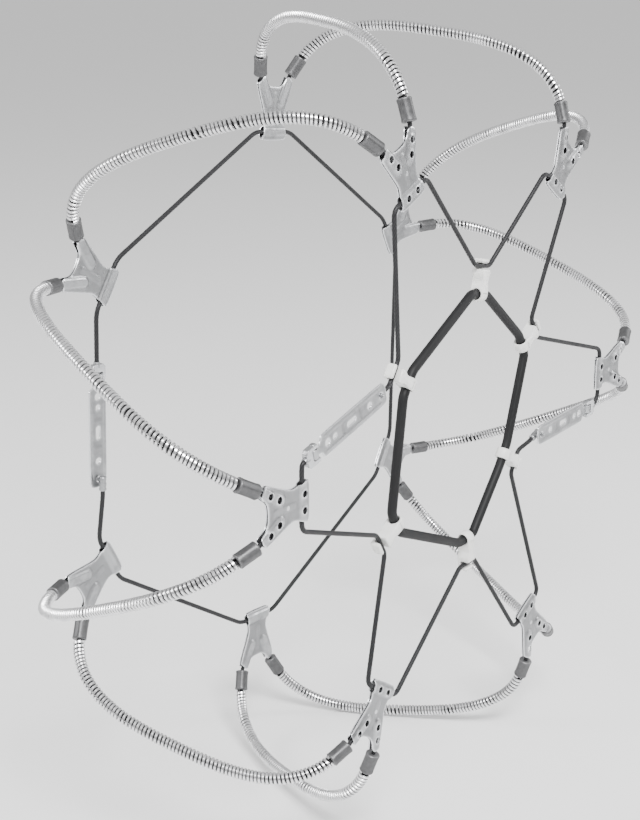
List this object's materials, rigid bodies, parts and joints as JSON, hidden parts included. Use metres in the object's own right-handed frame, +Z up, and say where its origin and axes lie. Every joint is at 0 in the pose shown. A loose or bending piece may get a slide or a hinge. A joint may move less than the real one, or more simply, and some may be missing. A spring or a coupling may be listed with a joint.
{
  "type": "tire snow chains",
  "caption": "Cable tyre chain for a light-truck wheel: coil-wrapped cross-members zigzag over the tread between plates, side cables and a rubber tension ring.",
  "frame": {"origin": "centre of the wheel that the chain sits on, on the tyre's middle plane", "axes": "+Y along the wheel's axle towards the vehicle, -Y the outer side with the tension ring, +Z up"},
  "size_m": [0.8118, 0.289, 0.8192],
  "materials": {
    "galvanised_steel": "bright zinc plate",
    "coil_steel": "bright wound wire",
    "cross_cable_steel": "grey crimped ferrules on stranded cable",
    "wire_rope": "dark oiled strand",
    "rubber": "matte moulded",
    "white_nylon": "moulded satin"
  },
  "bodies": {
    "chain": {"outer_plate_front_1": "galvanised_steel", "outer_plate_front_2": "galvanised_steel", "outer_plate_front_3": "galvanised_steel", "outer_plate_front_4": "galvanised_steel", "outer_plate_front_5": "galvanised_steel", "outer_plate_front_6": "galvanised_steel", "outer_plate_back_1": "galvanised_steel", "outer_plate_back_2": "galvanised_steel", "outer_plate_back_3": "galvanised_steel", "outer_plate_back_4": "galvanised_steel", "outer_plate_back_5": "galvanised_steel", "outer_plate_back_6": "galvanised_steel", "inner_plate_1": "galvanised_steel", "inner_plate_2": "galvanised_steel", "inner_plate_3": "galvanised_steel", "inner_plate_4": "galvanised_steel", "inner_plate_5": "galvanised_steel", "inner_plate_6": "galvanised_steel", "strip_fork_1": "galvanised_steel", "strip_fork_2": "galvanised_steel", "inner_link_fork": "galvanised_steel", "traction_coil_1": "coil_steel", "traction_coil_2": "coil_steel", "traction_coil_3": "coil_steel", "traction_coil_4": "coil_steel", "traction_coil_5": "coil_steel", "traction_coil_6": "coil_steel", "traction_coil_7": "coil_steel", "traction_coil_8": "coil_steel", "traction_coil_9": "coil_steel", "traction_coil_10": "coil_steel", "traction_coil_11": "coil_steel", "traction_coil_12": "coil_steel", "cross_cable_1": "cross_cable_steel", "cross_cable_2": "cross_cable_steel", "cross_cable_3": "cross_cable_steel", "cross_cable_4": "cross_cable_steel", "cross_cable_5": "cross_cable_steel", "cross_cable_6": "cross_cable_steel", "cross_cable_7": "cross_cable_steel", "cross_cable_8": "cross_cable_steel", "cross_cable_9": "cross_cable_steel", "cross_cable_10": "cross_cable_steel", "cross_cable_11": "cross_cable_steel", "cross_cable_12": "cross_cable_steel", "outer_side_cable_a": "wire_rope", "outer_side_cable_b": "wire_rope", "inner_side_cable": "wire_rope", "tension_ring": "rubber"},
    "latch_strip_1": {"latch_strip_1": "galvanised_steel"},
    "latch_strip_2": {"latch_strip_2": "galvanised_steel"},
    "inner_link_strip": {"inner_link_strip": "galvanised_steel"},
    "tension_hook_1": {"tension_hook_1": "white_nylon"},
    "tension_hook_2": {"tension_hook_2": "white_nylon"},
    "tension_hook_3": {"tension_hook_3": "white_nylon"},
    "tension_hook_4": {"tension_hook_4": "white_nylon"},
    "tension_hook_5": {"tension_hook_5": "white_nylon"},
    "tension_hook_6": {"tension_hook_6": "white_nylon"}
  },
  "joints": [
    {"name": "latch_strip_1_flap", "type": "hinge", "parent": "chain", "child": "latch_strip_1", "pos_m": [0.25249, -0.138, -0.04225], "axis": [-0.0317, 0, 0.9995], "range_deg": [0, 75]},
    {"name": "latch_strip_2_flap", "type": "hinge", "parent": "chain", "child": "latch_strip_2", "pos_m": [-0.26001, -0.138, 0.04398], "axis": [0.2763, 0, -0.9611], "range_deg": [0, 75]},
    {"name": "inner_link_strip_flap", "type": "hinge", "parent": "chain", "child": "inner_link_strip", "pos_m": [-0.24956, 0.138, 0.06565], "axis": [0.9986, 0, -0.0523], "range_deg": [0, 60]},
    {"name": "tension_hook_1_tilt", "type": "hinge", "parent": "chain", "child": "tension_hook_1", "pos_m": [-0.09972, -0.128, 0.06853], "axis": [-0.5664, 0, -0.8241], "range_deg": [0, 60]},
    {"name": "tension_hook_2_tilt", "type": "hinge", "parent": "chain", "child": "tension_hook_2", "pos_m": [0.02595, -0.128, 0.1335], "axis": [-0.9816, 0, 0.1908], "range_deg": [0, 60]},
    {"name": "tension_hook_3_tilt", "type": "hinge", "parent": "chain", "child": "tension_hook_3", "pos_m": [0.11567, -0.128, 0.0615], "axis": [-0.4695, 0, 0.8829], "range_deg": [0, 60]},
    {"name": "tension_hook_4_tilt", "type": "hinge", "parent": "chain", "child": "tension_hook_4", "pos_m": [0.08368, -0.128, -0.0529], "axis": [0.5344, 0, 0.8453], "range_deg": [0, 60]},
    {"name": "tension_hook_5_tilt", "type": "hinge", "parent": "chain", "child": "tension_hook_5", "pos_m": [0.01107, -0.128, -0.12652], "axis": [0.9962, 0, 0.0872], "range_deg": [0, 60]},
    {"name": "tension_hook_6_tilt", "type": "hinge", "parent": "chain", "child": "tension_hook_6", "pos_m": [-0.11865, -0.128, -0.0685], "axis": [0.5, 0, -0.866], "range_deg": [0, 60]}
  ]
}
